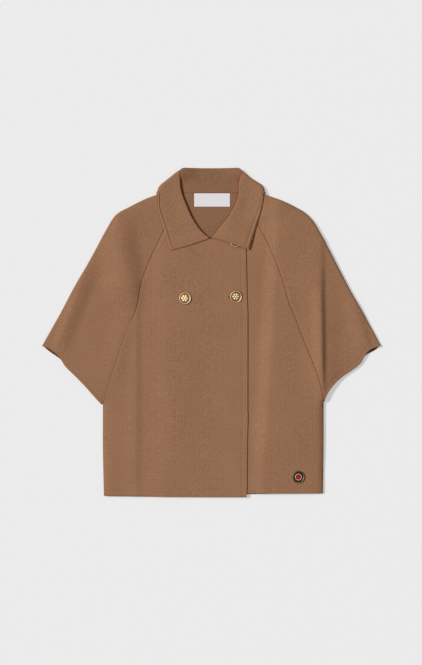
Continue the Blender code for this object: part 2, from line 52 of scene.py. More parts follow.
# The wearer's right is on the left of the picture. Outlines in millimetres
rightHand = dict(
    sign=-1,
    seamSink=(0.25, 0.0),      # how far the sleeve sinks beside its raglan seam, below and above
    frontRaglan=[(-82, 236), (-97, 203), (-111, 173), (-126, 141), (-141, 99), (-149, 55),
                 (-158, 29), (-175, -9), (-197, -79), (-217, -143)],
    backRaglan=[(-66, 278.5), (-92, 225), (-120, 160), (-143, 95), (-160, 40), (-180, -20),
                (-200, -85), (-217, -143)],
    neckSeam=[(-3, 187), (-38, 195), (-62, 212), (-82, 236)],
    neckShoulder=[(-82, 236), (-90, 262)],
    standSide=[(-66, 323), (-80, 307)],
    shoulder=[(-95, 285.5), (-110, 275.4), (-134, 265.8), (-165.4, 250), (-183.2, 240.6),
              (-194, 230), (-204.4, 214.8), (-227, 174), (-255, 123.2), (-299, 43.8),
              (-338.6, -26.6)],
    cuffFront=[(-217, -147), (-235, -127.4), (-255, -105), (-275, -84.6), (-285, -75.2), (-293, -66.4),
               (-299, -56.8), (-306, -46.2), (-322, -33)],
    cuffBack=[(-217, -146), (-235, -126), (-255, -103.6), (-285, -74), (-293, -65), (-303, -52.6),
              (-322, -39.4)],
    roll=[(-5, 189.5), (-18.5, 201), (-36, 225), (-50, 255), (-60.5, 285)],
    leafEdge=[(-81.4, 163), (-87.8, 177.4), (-96, 206.2), (-103.4, 231), (-107.4, 250.2)],
    leafEnd=[(-9, 185.5), (-45, 173)],
    fallSide=[(-76, 309.5), (-89.2, 298.2), (-99.4, 288.8), (-105.6, 274)],
)
leftHand = dict(
    sign=1,
    seamSink=(1.3, 1.2),
    frontRaglan=[(84, 236), (98.4, 203), (108.6, 185), (119.8, 159), (133.6, 125), (143.6, 97),
                 (154, 59), (167.2, 27), (181.4, -11), (199.4, -55), (213.6, -94), (224, -139)],
    backRaglan=[(64, 278.5), (90, 225), (119, 160), (143, 95), (161, 40), (183, -20),
                (205, -85), (224, -139)],
    neckSeam=[(3, 187), (40, 195), (64, 210), (84, 236)],
    neckShoulder=[(84, 236), (88, 262)],
    standSide=[(63, 323), (77, 307)],
    shoulder=[(92, 285.5), (107, 276), (143, 262.4), (177, 245.4), (193, 233.8),
              (205.8, 218.8), (216.5, 200.5), (233.6, 169), (250, 137), (266.6, 105), (283.6, 73),
              (301.8, 41), (319.8, 9), (338.6, -26)],
    cuffFront=[(224, -141), (233, -120), (247.6, -101), (263, -87.6), (281, -75.4), (293, -66.4),
               (299.5, -59.5), (306, -47.5), (313, -37.6), (325, -30.6)],
    cuffBack=[(224, -141), (234, -118), (263, -86), (290, -65), (300, -54), (306, -48),
              (314, -41.8), (327, -35)],
    roll=[(2, 190), (10, 199), (34, 231), (53, 269), (54.5, 295)],
    leafEdge=[(75.5, 165), (79, 177), (86.6, 202.4), (98.2, 239), (103.8, 265.4)],
    leafEnd=[(9, 187), (29, 181)],
    fallSide=[(72.6, 307.5), (85, 298.4), (95, 291.8), (100, 285.5), (103, 274)],
)
body = dict(
    hemBack=[(-215, -326), (0, -325), (223, -320)],
    hemTopFront=[(-215, -327), (-60, -328.5), (70, -329)],
    hemUnderFront=[(-67, -321), (71, -321.6), (223, -321.6)],
    sideRight=[(-215, -327), (-217, -230), (-217, -143)],
    sideLeft=[(223, -321.6), (224, -230), (224, -139)],
    backNeck=[(-66, 278.5), (0, 279), (64, 278.5)],
    edgeY=[-329, -311, -211, -168, -153, 41, 67, 165, 205],
    edgeX=[70.2, 70.8, 71.6, 73.0, 72.2, 72.4, 71.0, 68.8, 68.0],
    underlapX=-67, underlapTop=150,
    underlapNeck=[(-67, 150), (-20, 172), (3, 187)],
    extensionNeck=[(-3, 187), (25, 190), (50, 198), (69, 205)],
    sideLength=185, hemLength=285, extensionLength=76,
    hemFold=10.0,      # depth of the turned-up hem
    edgeBand=10.0,     # from the front edge to its row of stitching
)
collar = dict(fallCentre=(-1, 292), fallRadii=(112, 56), fallEndAngle=0.30, top=328.6, welt=7.6,
              behindRise=3.0,    # how far the stand behind the neck comes up at its corners
              cornerRise=5.2,    # and how much more just inside them, where it rolls over
              rollPuff=1.2,      # extra height of the leaves at their fold
              buttonRoom=(3.3, 13, 50))      # rise over the hidden button, and where it falls away
buttonNeckAt = (48.6, 182.4)

# Soft ridges of the cloth that lies on the back: crest from start to end, reach on each side
ridges = [
    dict(start=(217, 165), end=(219, -115), before=50, after=12, height=3.8),
    dict(start=(217, 90), end=(220, -92), before=26, after=9, height=3.4),
    dict(start=(217, 40), end=(224, -130), before=20, after=46, height=3.8),
    dict(start=(282, 70), end=(308, -25), before=30, after=16, height=3.4),
    dict(start=(-184, 200), end=(-166, 62), before=56, after=43, height=10.0),
    dict(start=(-166, 60), end=(-190, -80), before=40, after=24, height=2.4),
    dict(start=(-252, 118), end=(-305, -22), before=16, after=31, height=5.4),
    dict(start=(-178, 262), end=(-190, 200), before=14, after=90, height=3.4),
    dict(start=(112, 262), end=(122, 165), before=40, after=90, height=2.2),
    dict(start=(134, 190), end=(103, -318), before=27, after=180, height=9.6),
    dict(start=(-149, 75), end=(-149, -315), before=28, after=9, height=2.0),
    dict(start=(-80, 60), end=(-80, -315), before=44, after=110, height=2.8),
]


def stepUp(value, start, end):
    # smooth step: 3t^2 - 2t^3 of the share t of the way from start to end
    t = np.clip((value - start) / (end - start), 0, 1)
    return t * t * (3 - 2 * t)


def curveAt(points, shares):
    # Catmull-Rom curve through the points, read at shares of its length; millimetres to metres
    p = np.array(points, float)
    p = np.vstack([2 * p[0] - p[1], p, 2 * p[-1] - p[-2]])
    t = np.linspace(0, 1, 24, endpoint=False)[:, None, None]
    a, b, c, d = p[:-3], p[1:-2], p[2:-1], p[3:]
    fine = 0.5 * (2 * b + (c - a) * t + (2 * a - 5 * b + 4 * c - d) * t ** 2
                  + (3 * b - a - 3 * c + d) * t ** 3)
    fine = np.vstack([fine.transpose(1, 0, 2).reshape(-1, 2), p[-2:-1]])
    length = np.concatenate([[0], np.cumsum(np.linalg.norm(np.diff(fine, axis=0), axis=1))])
    at = np.asarray(shares) * length[-1]
    return np.stack([np.interp(at, length, fine[:, 0]), np.interp(at, length, fine[:, 1])], 1) * mm


def even(count):
    # even shares from 0 to 1
    return np.linspace(0, 1, count + 1)


def withLines(count, length, near=(), width=1.2):
    # even shares, with five close rows round each distance in near, so that a groove has its form
    extra = [d / length + np.array([-1.6, -0.7, 0, 0.7, 1.6]) * width / length for d in near]
    base = even(count)
    for e in extra:
        base = base[(base < e[0] - 0.2 * width / length) | (base > e[-1] + 0.2 * width / length)]
    shares = np.sort(np.concatenate([base] + extra))
    return shares[(shares >= 0) & (shares <= 1)]


def joinedCurves(*curves):
    # curves laid end to end, with each shared point kept once
    return np.vstack([curves[0]] + [c[1:] for c in curves[1:]])


def outwardNormals(line, sign):
    # unit vectors square to a line in plan: (dy, -dx) of its slope, on the outer side
    t = np.gradient(line, axis=0)
    n = np.stack([t[:, 1], -t[:, 0]], 1)
    n /= np.linalg.norm(n, axis=1)[:, None]
    return n * np.sign(n[len(n) // 2, 0]) * sign


def moved(line, distance, sign):
    # the line moved out square to itself
    return line + outwardNormals(line, sign) * distance


def sharesOf(line):
    # share of a line's length at each of its points
    s = np.concatenate([[0], np.cumsum(np.linalg.norm(np.diff(line, axis=0), axis=1))])
    return s / s[-1]


def coons(low, high, first, last):
    # Coons patch: blend of the four edges less the blend of the four corners
    u = ((sharesOf(low) + sharesOf(high)) / 2)[:, None, None]
    v = ((sharesOf(first) + sharesOf(last)) / 2)[None, :, None]
    low, high, first, last = low[:, None], high[:, None], first[None], last[None]
    edges = (1 - v) * low + v * high + (1 - u) * first + u * last
    return edges - ((1 - u) * (1 - v) * low[:1] + u * (1 - v) * low[-1:]
                    + (1 - u) * v * high[:1] + u * v * high[-1:])


def backLift(x, y):
    # one layer up inside the half ellipse where the collar's fall lies under the back
    (cx, cy), (rx, ry) = collar["fallCentre"], collar["fallRadii"]
    radius = np.hypot((x / mm - cx) / rx, (y / mm - cy) / ry)
    return layer * mm * (1 - stepUp(radius, 1.30, 1.75))


def ridgeHeight(x, y):
    # sum of squared-cosine ridges, each fading past the ends of its crest
    total = np.zeros_like(x)
    for ridge in ridges:
        start, end = np.array(ridge["start"]) * mm, np.array(ridge["end"]) * mm
        length = np.linalg.norm(end - start)
        along = (end - start) / length
        s = (x - start[0]) * along[0] + (y - start[1]) * along[1]
        off = ((x - start[0]) * -along[1] + (y - start[1]) * along[0]) * (1 if along[1] > 0 else -1)
        reach = np.where(off < 0, ridge["after"], ridge["before"]) * mm
        across = np.cos(np.clip(off / reach, -1, 1) * np.pi / 2) ** 2
        fade = stepUp(s, -0.35 * length, 0.25 * length)
        fade = fade * stepUp(length - s, -0.25 * length, 0.25 * length)
        total = total + ridge["height"] * mm * across * fade
    return total


def sideClosing(x, y):
    # quarter circle: 0 on the side seams, where front meets back, and 1 from 20 or 10 mm inside them
    right = np.hypot(x + 216.5 * mm, np.maximum(y + 143 * mm, 0)) / (20 * mm)
    left = np.hypot(x - 223.5 * mm, np.maximum(y + 139 * mm, 0)) / (10 * mm)
    return np.sqrt(1 - (1 - np.clip(np.minimum(right, left), 0, 1)) ** 2)


def unevenness(x, y):
    # slow waves in three directions, a fraction of a millimetre high
    waves = (np.sin(x * 61 + y * 17 + 1.3) + np.sin(x * 23 - y * 47 + 0.4)
             + 0.7 * np.sin(x * 105 + y * 31 + 2.2) + 0.6 * np.sin(x * 37 + y * 93))
    return 0.06 * mm * (waves + 3.3)


def upperBase(x, y):
    # underside of the cloth that lies on the back
    near, far = cloth["neckReach"]
    fromNeck = np.hypot(x, y - cloth["neckY"] * mm)
    air = cloth["neckAir"] + (cloth["air"] - cloth["neckAir"]) * stepUp(fromNeck, near * mm, far * mm)
    rise = air * mm + ridgeHeight(x, y) + unevenness(x, y)
    return backLift(x, y) + layer * mm + sideClosing(x, y) * rise


def overlap(x, y):
    # 0 to 1 where the top front rides up over the edge of the under front
    start = np.interp(y, np.array([60, 150]) * mm, np.array([-142, -118]) * mm)
    across = stepUp((x - start) / (-94 * mm - start), 0, 1)
    top = np.interp(x, np.array([-67, -20, 3, 69]) * mm, np.array([150, 172, 187, 208]) * mm)
    return across * (1 - stepUp(y - top, 12 * mm, 40 * mm))


def topFrontBase(x, y):
    # underside of the front that laps on top
    return upperBase(x, y) + cloth["overlapRise"] * mm * overlap(x, y)


def leafBase(x, y):
    # underside of the collar's leaves, clear of the fronts and of the button under the left leaf
    left = (1 - stepUp(y, 214 * mm, 240 * mm)) * (1 - stepUp(x, 78 * mm, 112 * mm))
    onFront = np.where(x < 0, overlap(x, y), left)
    height, near, far = collar["buttonRoom"]
    away = np.hypot(x - buttonNeckAt[0] * mm, y - buttonNeckAt[1] * mm)
    overButton = np.where(x > 0, height * mm * (1 - stepUp(away, near * mm, far * mm)), 0)
    rise = layer + cloth["overlapRise"] * onFront + cloth["leafEase"]
    return upperBase(x, y) + rise * mm + overButton


def withHeight(plan, height):
    # plan points with their heights
    return np.concatenate([plan, height(plan[..., 0], plan[..., 1])[..., None]], -1)


def lengthsAlong(grid, axis):
    # running length along one direction of a grid
    step = np.linalg.norm(np.diff(grid, axis=axis), axis=-1)
    start = np.zeros_like(np.take(step, [0], axis=axis))
    return np.concatenate([start, np.cumsum(step, axis=axis)], axis=axis)


def shellFaces(m, n):
    # closed shell on two m x n grids: outer faces, inner faces turned round, strip round the rim
    index = np.arange(m * n).reshape(m, n)
    top = np.stack([index[:-1, :-1], index[1:, :-1], index[1:, 1:], index[:-1, 1:]], -1).reshape(-1, 4)
    rim = np.concatenate([index[:, 0], index[-1, 1:], index[-2::-1, -1], index[0, -2::-1]])
    p, q = rim[:-1], rim[1:]
    return np.concatenate([top, top[:, ::-1] + m * n, np.stack([q, p, p + m * n, q + m * n], -1)])


def closedSheet(name, middle, facing, wales, courses, groove=None, reverseAndShade=0, inside=1):
    # shell: middle surface moved out and in by half the cloth, joined round its edge.
    # groove lowers the outer face; wales and courses are the grain's own coordinates in metres;
    # the darkening value is 1 where the outer face is the fabric's reverse, part duller colour and part
    # painted shade; inside is the share of it that the inner face gets, painted shade inside the cuffs
    sunk = 0 if groove is None else groove[..., None]
    outer = middle + facing * (half - sunk)
    inner = middle - facing * half
    grid = middle.shape[:2]
    points = np.concatenate([outer.reshape(-1, 3), inner.reshape(-1, 3)])
    piece = meshPiece(name, points, shellFaces(*grid))
    grain = np.stack([wales, courses], -1).reshape(-1, 2)
    giveMap(piece, np.concatenate([grain, grain]))
    face = np.broadcast_to(reverseAndShade, grid).astype(float).ravel()
    givePointValue(piece, "reverseAndShade", np.concatenate([face, (1 - face) * inside]))
    bevel = piece.modifiers.new("rounded edges", "BEVEL")
    bevel.width = 1.0 * mm
    bevel.segments = 3
    bevel.limit_method = "ANGLE"
    bevel.angle_limit = math.radians(50)
    return piece


def meshPiece(name, points, faces, smooth=True):
    # a mesh object from arrays of points and faces, turned outwards by the sign of its volume
    faces = np.asarray(faces)
    tri = points[faces[:, [0, 1, 2]]]
    quad = points[faces[:, [0, 2, 3]]]
    volume = sum(np.einsum("ij,ij->", t[:, 0], np.cross(t[:, 1], t[:, 2])) for t in (tri, quad))
    if volume < 0:
        faces = faces[:, ::-1]
    mesh = bpy.data.meshes.new(name)
    mesh.from_pydata(points.tolist(), [], faces.tolist())
    mesh.validate()
    mesh.polygons.foreach_set("use_smooth", np.full(len(mesh.polygons), smooth))
    mesh.update()
    piece = bpy.data.objects.new(name, mesh)
    bpy.context.scene.collection.objects.link(piece)
    return piece


def giveMap(piece, perPoint):
    # UV map in metres, read from each corner's point
    mesh = piece.data
    corner = np.empty(len(mesh.loops), np.int32)
    mesh.loops.foreach_get("vertex_index", corner)
    layerUv = mesh.uv_layers.new(name="grain")
    layerUv.data.foreach_set("uv", perPoint[corner].astype(np.float32).ravel())


def givePointValue(piece, name, perPoint):
    # one value a point, which a material reads
    data = piece.data.attributes.new(name, "FLOAT", "POINT").data
    data.foreach_set("value", np.ascontiguousarray(perPoint, np.float32).ravel())


def lyingLevel(plan, underside, up):
    # middle surface over a plan, and its level facing: 1 for up, -1 for down
    middle = withHeight(plan, lambda x, y: underside(x, y) + half)
    return middle, np.zeros_like(middle) + np.array([0, 0, float(up)])


def flatPanel(name, plan, underside, groove=None, reverseAndShade=0):
    # a panel that lies level, its grain upright
    middle, facing = lyingLevel(plan, underside, 1)
    piece = closedSheet(name, middle, facing, plan[..., 0], plan[..., 1], groove, reverseAndShade)
    return piece, middle


def grooveAlong(distance, at, depth=0.45, width=1.3):
    # bell-shaped trough where the distance from an edge is at
    return depth * mm * np.exp(-((distance / mm - at) / width) ** 2)


def edgeWelt(distance, at, depth, plump, droop):
    # from the edge in: a rounded drop, a plump bell at half the welt, then the sunk stitching line
    bell = grooveAlong(distance, 0.5 * at, plump, 2.2)
    return grooveAlong(distance, at, depth, 1.8) - bell + roundedEdge(distance, droop, 3.2)


def roundedEdge(distance, drop=1.0, reach=3):
    # the outer face turns down over the last few millimetres
    return drop * mm * (1 - stepUp(distance, 0, reach * mm))


def seamStep(fromSeam, y, low, high, swap=25):
    # how far a piece sinks beside its raglan seam: low mm below the swap's height, high mm above it
    depth = low + (high - low) * stepUp(y, (swap - 25) * mm, (swap + 25) * mm)
    return depth * mm * np.exp(-(fromSeam / (3.2 * mm)) ** 2)


def ends(plan):
    # distance of each grid point from the first row and from the last column
    return lengthsAlong(plan, 1), lengthsAlong(plan[::-1], 0)[::-1]


# Panels
def panelSide(sideSeam, raglan, hand, rows, lines):
    # a side seam, then the raglan seam, moved in by half the gap between sewn pieces
    side = curveAt(body[sideSeam], withLines(rows[0], body["sideLength"], lines))
    seam = curveAt(hand[raglan][::-1], even(rows[1]))
    return joinedCurves(side, moved(seam, -cloth["sewn"] / 2 * mm, hand["sign"]))


def riseOf(line):
    # share of a line's whole rise at each of its points
    return (line[:, 1] - line[0, 1]) / (line[-1, 1] - line[0, 1])


def makeBack():
    # patch between hem, neck and both sides, level on the surface
    left = panelSide("sideLeft", "backRaglan", leftHand, (30, 70), [body["hemFold"]])
    right = panelSide("sideRight", "backRaglan", rightHand, (30, 70), [body["hemFold"]])
    neck, hem = curveAt(body["backNeck"], even(64)), curveAt(body["hemBack"], even(64))
    neck[0], neck[-1], hem[0], hem[-1] = right[-1], left[-1], right[0], left[0]
    # the back's upper face, seen inside the neck, is darkened: partly the reverse's duller colour,
    # partly painted shade
    return flatPanel("back_cloth", coons(hem, neck, right, left), backLift, None, cloth["reverseAndShade"])


def makeTopFront():
    # patch between hem, neck, side and front edge; its columns run close beside the front edge
    side = panelSide("sideRight", "frontRaglan", rightHand, (34, 76), [1.6, body["hemFold"]])
    edgeY = body["edgeY"][0] + riseOf(side) * (body["edgeY"][-1] - body["edgeY"][0])
    edge = np.stack([np.interp(edgeY, body["edgeY"], body["edgeX"]), edgeY], 1) * mm
    length, hemLength = body["extensionLength"], body["hemLength"]
    extension = withLines(20, length, [length - body["edgeBand"]])
    neck = joinedCurves(curveAt(rightHand["neckSeam"][::-1], even(30)),
                        curveAt(body["extensionNeck"], extension))
    near = [0, 16, 0.45 * hemLength]
    fromEdge = np.interp(length * (1 - extension), [0, 16, length], near) / hemLength
    hem = curveAt(body["hemTopFront"], np.concatenate([even(30) * 0.55, 1 - fromEdge[1:]]))
    neck[0], neck[-1], hem[0], hem[-1] = side[-1], edge[-1], side[0], edge[0]
    plan = coons(hem, neck, side, edge)
    fromHem, fromEdge = ends(plan)
    groove = grooveAlong(fromHem, body["hemFold"]) + grooveAlong(fromEdge, body["edgeBand"], 0.35)
    groove += seamStep(lengthsAlong(plan, 0), plan[..., 1], 0, 1.2) * (plan[..., 1] > -130 * mm)
    groove += roundedEdge(fromHem)
    return flatPanel("front_right_cloth", plan, topFrontBase, groove)


def makeUnderFront():
    # patch between hem, neck, side and the straight edge that the top front hides
    side = panelSide("sideLeft", "frontRaglan", leftHand, (34, 76), [1.6, body["hemFold"]])
    low, high = body["hemUnderFront"][0][1], body["underlapTop"]
    edgeY = low + riseOf(side) * (high - low)
    edge = np.stack([np.full(len(edgeY), float(body["underlapX"])), edgeY], 1) * mm
    neck = joinedCurves(curveAt(body["underlapNeck"], even(20)),
                        curveAt(leftHand["neckSeam"], even(30)))
    hem = curveAt(body["hemUnderFront"], even(50))
    neck[0], neck[-1], hem[0], hem[-1] = edge[-1], side[-1], edge[0], side[0]
    plan = coons(hem, neck, edge, side)
    fromHem, _ = ends(plan)
    groove = grooveAlong(fromHem, body["hemFold"]) + roundedEdge(fromHem)
    return flatPanel("front_left_cloth", plan, upperBase, groove)


def shoulderLine(hand, standRows, sleeveShares):
    # line that a folded edge turns round: the outline moved in by the fold's radius
    stand = curveAt(hand["standSide"] + hand["shoulder"][:1], even(standRows))
    outline = joinedCurves(stand, curveAt(hand["shoulder"], sleeveShares))
    normal = outwardNormals(outline, hand["sign"])
    upper = upperBase(outline[:, 0], outline[:, 1]) + half
    lower = backLift(outline[:, 0], outline[:, 1]) + half
    turning = outline - normal * ((upper - lower) / 2 + half)[:, None]
    return turning[:standRows + 1], turning[standRows:], normal[:standRows + 1], normal[standRows:]


def foldedEdge(line, normal, upper, lower, steps=12):
    # half circles from the upper layer round to the lower one
    angle = np.linspace(0, np.pi, steps + 1)[1:-1, None, None]
    radius = (np.maximum(upper - lower, 0.4 * mm) / 2)[None, :, None]
    centre = ((upper + lower) / 2)[None, :, None]
    plan = line[None] + radius * np.sin(angle) * normal[None]
    height = centre + radius * np.cos(angle)
    facing = np.concatenate([np.sin(angle) * normal[None], np.cos(angle) * np.ones_like(height)], -1)
    return np.concatenate([plan, height], -1), facing


def makeSleeve(name, hand):
    # two patches: the upper one turns under round the shoulder line, the lower one meets it there
    sign, seam = hand["sign"], cloth["sewn"] / 2 * mm
    rows = 1 - withLines(80, 400, [cloth["cuffFold"]])[::-1]
    _, turning, _, normal = shoulderLine(hand, 12, rows)
    tip = tuple(turning[-1] / mm)
    raglan = moved(curveAt(hand["frontRaglan"], rows), seam, sign)
    neck = curveAt(hand["neckShoulder"] + [tuple(turning[0] / mm)], even(40))
    cuff = curveAt(hand["cuffFront"] + [tip], even(40))
    neck[0], cuff[0] = raglan[0], raglan[-1]
    upperPlan = coons(neck, cuff, raglan, turning)
    raglan = moved(curveAt(hand["backRaglan"], rows), seam, sign)
    neck = np.linspace(turning[0], raglan[0], 31)
    cuff = curveAt([tip] + hand["cuffBack"][::-1], even(30))
    cuff[-1] = raglan[-1]
    lowerPlan = coons(neck, cuff, turning, raglan)
    upper, up = lyingLevel(upperPlan, upperBase, 1)
    lower, down = lyingLevel(lowerPlan, backLift, -1)
    roll, turned = foldedEdge(turning, normal, upper[-1, :, 2], lower[0, :, 2])
    middle = np.concatenate([upper, roll, lower[:1]])
    facing = np.concatenate([up, turned, down[:1]])
    fromSeam = lengthsAlong(middle, 0)
    fromFold = fromSeam - fromSeam[len(upper)]
    fromCuff = lengthsAlong(middle[:, ::-1], 1)[:, ::-1]
    sunk = grooveAlong(fromCuff, cloth["cuffFold"], 0.35)
    sunk += seamStep(fromSeam, middle[..., 1], *hand["seamSink"]) * (fromSeam < 30 * mm)
    front = closedSheet(name + "_cloth", middle, facing, fromFold, fromCuff, sunk)
    lower[0, :, :2] -= normal * cloth["seam"] * mm
    behind = closedSheet(name + "_back_cloth", lower, down, lengthsAlong(lower, 0),
                         lengthsAlong(lower[:, ::-1], 1)[:, ::-1])
    return {name: (front, middle), name + "_back": (behind, lower)}


def denseStart(count, length, until=12.0, step=1.3):
    # shares with close columns over the first stretch, then even ones
    fine = np.arange(0, until, step) / length
    rest = even(count)
    return np.concatenate([fine, rest[rest > fine[-1] + 0.6 * step / length]])


def leafPlan(hand, shares, standRows, fallShares):
    # stand and fall of one collar leaf in plan, from its front end to the side of the neck
    first, second = shares
    whole = np.concatenate([first * 0.55, 0.55 + 0.45 * second[1:]])
    turning, _, normal, _ = shoulderLine(hand, standRows, even(60))
    seamEnd, foldEnd = tuple(turning[-1] / mm), tuple(turning[0] / mm)
    seam = joinedCurves(curveAt(hand["neckSeam"], first),
                        curveAt(hand["neckShoulder"] + [seamEnd], second))
    roll = curveAt(hand["roll"] + [foldEnd], whole)
    inward = roll - seam
    inward /= np.linalg.norm(inward, axis=1)[:, None]
    puff = puffAlong(whole)
    roll -= inward * (layer / 2 * mm + half + puff / 2)[:, None] * (whole < 1)[:, None]
    seam = seam + inward * cloth["seam"] * mm
    standSide = turning[::-1].copy()
    standSide[0] = seam[-1]
    stand = coons(seam, roll, np.linspace(seam[0], roll[0], standRows + 1), standSide)
    fallSide = curveAt([foldEnd] + hand["fallSide"], fallShares)
    edge = curveAt(hand["leafEdge"] + hand["fallSide"][-1:], whole)
    end = curveAt([tuple(roll[0] / mm)] + hand["leafEnd"] + hand["leafEdge"][:1], fallShares)
    fall = coons(roll, edge, end, fallSide)
    fallNormal = outwardNormals(fallSide, hand["sign"])
    fallNormal[:, 1] += 1.6 * (1 - stepUp(fallShares, 0, 0.3))
    fallNormal /= np.linalg.norm(fallNormal, axis=1)[:, None]
    return stand, fall, standSide, normal[::-1], fallSide, fallNormal, puff


def puffAlong(share):
    # extra height of a leaf's fold: none at its front end, most from the middle up
    return collar["rollPuff"] * mm * stepUp(share, 0.02, 0.45) * (1 - 0.7 * stepUp(share, 0.8, 1.0))


def behindLift(x, y):
    # the stand behind the neck comes up towards its fold, most at the corners
    corners = 0.3 + 0.7 * stepUp(np.abs(x), 20 * mm, 62 * mm)
    away = (np.abs(x) - 60 * mm) / mm
    hump = collar["cornerRise"] * np.exp(-(away / np.where(away > 0, 5, 26)) ** 2)
    return mm * (collar["behindRise"] * corners * stepUp(y, 284 * mm, 325 * mm)
                 + hump * stepUp(y, 302 * mm, 318 * mm))


def inwardOf(stand):
    # level unit vectors from the neck seam to the collar's fold
    v = stand[:, -1] - stand[:, 0]
    v = v / np.linalg.norm(v, axis=1)[:, None]
    return np.concatenate([v, np.zeros((len(v), 1))], 1)


def collarStretch(stand, fall, inward, steps=10):
    # stand, then a half circle over the fold, then the fall
    a, b = stand[0][:, -1], fall[0][:, 0]
    centre, span = (a + b) / 2, (b - a) / 2
    radius = np.linalg.norm(span, axis=1)[:, None]
    angle = np.linspace(0, np.pi, steps)[1:-1][:, None, None]
    over = centre - span * np.cos(angle) + inward * radius * np.sin(angle)
    faces = inward * np.sin(angle) - span / radius * np.cos(angle)
    middle = np.concatenate([stand[0], over.transpose(1, 0, 2), fall[0]], 1)
    return middle, np.concatenate([-stand[1], faces.transpose(1, 0, 2), fall[1]], 1)


def makeCollar():
    # five stretches end to end: right leaf, its turn at the shoulder, the part behind the neck,
    # the left turn and the left leaf, each of them stand, fold and fall
    shares, standRows = (denseStart(24, 70, 14.0, 1.2), even(20)), 10
    fallShares = withLines(26, 70, [56.5, 59.8, 63, 66, 68.6])
    hands = []
    for hand in (rightHand, leftHand):
        stand, fall, standLine, standNormal, fallLine, fallNormal, puff = leafPlan(
            hand, shares, standRows, fallShares)
        inward = inwardOf(stand)
        standTop = lyingLevel(stand, topFrontBase if hand is rightHand else upperBase, 1)
        fallTop = lyingLevel(fall, leafBase, 1)
        fallTop[0][..., 2] += puff[:, None] * (1 - stepUp(fallShares, 0, 0.42))[None]
        standLow = backLift(*standLine.T) + behindLift(*standLine.T) + half
        standTurn = foldedEdge(standLine, standNormal, standTop[0][-1, :, 2], standLow)
        fallLow = 0.8 * behindLift(*fallLine.T) + half
        fallTurn = foldedEdge(fallLine, fallNormal, fallTop[0][-1, :, 2], fallLow)
        turnInward = np.repeat(inward[-1:], len(standTurn[0]), 0)
        hands.append(dict(stand=standTop, fall=fallTop, inward=inward, turnInward=turnInward,
                          standTurn=standTurn, fallTurn=fallTurn, standLine=standLine,
                          fallLine=fallLine))
    right, left = hands
    behind, shoulderPart = 44, 6
    foldY = collar["top"] - 2.3
    corners = [h["standLine"][-1] / mm for h in hands]
    across = even(behind + 2 * shoulderPart)
    top = curveAt([tuple(corners[0]), (corners[0][0] + 0.8, foldY - 2.4), (-56, foldY - 0.2),
                   (-45, foldY), (0, foldY), (45, foldY), (54, foldY - 0.2),
                   (corners[1][0] - 0.8, foldY - 2.4), tuple(corners[1])], across)
    neck = curveAt(body["backNeck"], even(behind)) + np.array([0, cloth["seam"] * mm])
    seam = joinedCurves(np.linspace(right["standLine"][0], neck[0], shoulderPart + 1), neck,
                        np.linspace(neck[-1], left["standLine"][0], shoulderPart + 1))
    stand = coons(seam, top, right["standLine"], left["standLine"])
    (cx, cy), (rx, ry) = collar["fallCentre"], collar["fallRadii"]
    angles = np.linspace(np.pi + collar["fallEndAngle"], 2 * np.pi - collar["fallEndAngle"], 13)[1:-1]
    edge = curveAt([tuple(right["fallLine"][-1] / mm)]
                   + [(cx + rx * math.cos(a), cy + ry * math.sin(a)) for a in angles]
                   + [tuple(left["fallLine"][-1] / mm)], across)
    fall = coons(top, edge, right["fallLine"], left["fallLine"])

    def backwards(stretch):
        # the same rows in the other order
        return stretch[0][::-1], stretch[1][::-1]

    order = [(right["stand"], right["fall"], right["inward"]),
             (right["standTurn"], right["fallTurn"], right["turnInward"]),
             (lyingLevel(stand, lambda x, y: backLift(x, y) + behindLift(x, y), -1),
              lyingLevel(fall, lambda x, y: 0.8 * behindLift(x, y), -1), inwardOf(stand)),
             (backwards(left["standTurn"]), backwards(left["fallTurn"]), left["turnInward"]),
             (backwards(left["stand"]), backwards(left["fall"]), left["inward"][::-1])]
    parts = [collarStretch(*stretch) for stretch in order]
    middle, facing = (np.concatenate([p[k] for p in parts]) for k in (0, 1))
    fromSeam = lengthsAlong(middle, 1)
    fromEdge = np.minimum(lengthsAlong(middle[:, ::-1], 1)[:, ::-1],
                          np.minimum(lengthsAlong(middle, 0), lengthsAlong(middle[::-1], 0)[::-1]))
    sunk = edgeWelt(fromEdge, collar["welt"], 0.9, 0.6, 1.2)
    # the welt is plump only where it doesn't rest on the surface
    sunk = np.maximum(sunk, -0.6 * mm * stepUp(facing[..., 2], -0.9, -0.3))
    sunk[:, :standRows + 8] = 0
    # the stand's outer face, inside the neck, gets the same darkening: partly the reverse's duller
    # colour, partly painted shade
    inside = np.zeros(middle.shape[:2])
    inside[:, :standRows + 3] = cloth["reverseAndShade"]
    piece = closedSheet("collar_cloth", middle, facing, lengthsAlong(middle, 0), fromSeam, sunk, inside)
    return piece, middle


# Materials
def hexColour(code):
    # sRGB hex to linear: c / 12.92 below 0.04045, else ((c + 0.055) / 1.055) ^ 2.4
    c = np.array([int(code[k:k + 2], 16) for k in (1, 3, 5)]) / 255
    linear = np.where(c <= 0.04045, c / 12.92, ((c + 0.055) / 1.055) ** 2.4)
    return (*linear.tolist(), 1.0)


def addNode(tree, kind, settings=None, links=None):
    # one node: settings are its properties or sockets, links are socket to (node, output)
    node = tree.nodes.new(kind)
    for key, value in (settings or {}).items():
        if isinstance(key, str) and hasattr(node, key):
            setattr(node, key, value)
        else:
            node.inputs[key].default_value = value
    for key, (source, output) in (links or {}).items():
        tree.links.new(source.outputs[output], node.inputs[key])
    return node


def newMaterial(name, **sockets):
    # a material with its shader's sockets set
    material = bpy.data.materials.new(name)
    material.use_nodes = True
    tree = material.node_tree
    shader = tree.nodes["Principled BSDF"]
    for key, value in sockets.items():
        shader.inputs[key.replace("_", " ")].default_value = value
    return material, tree, shader


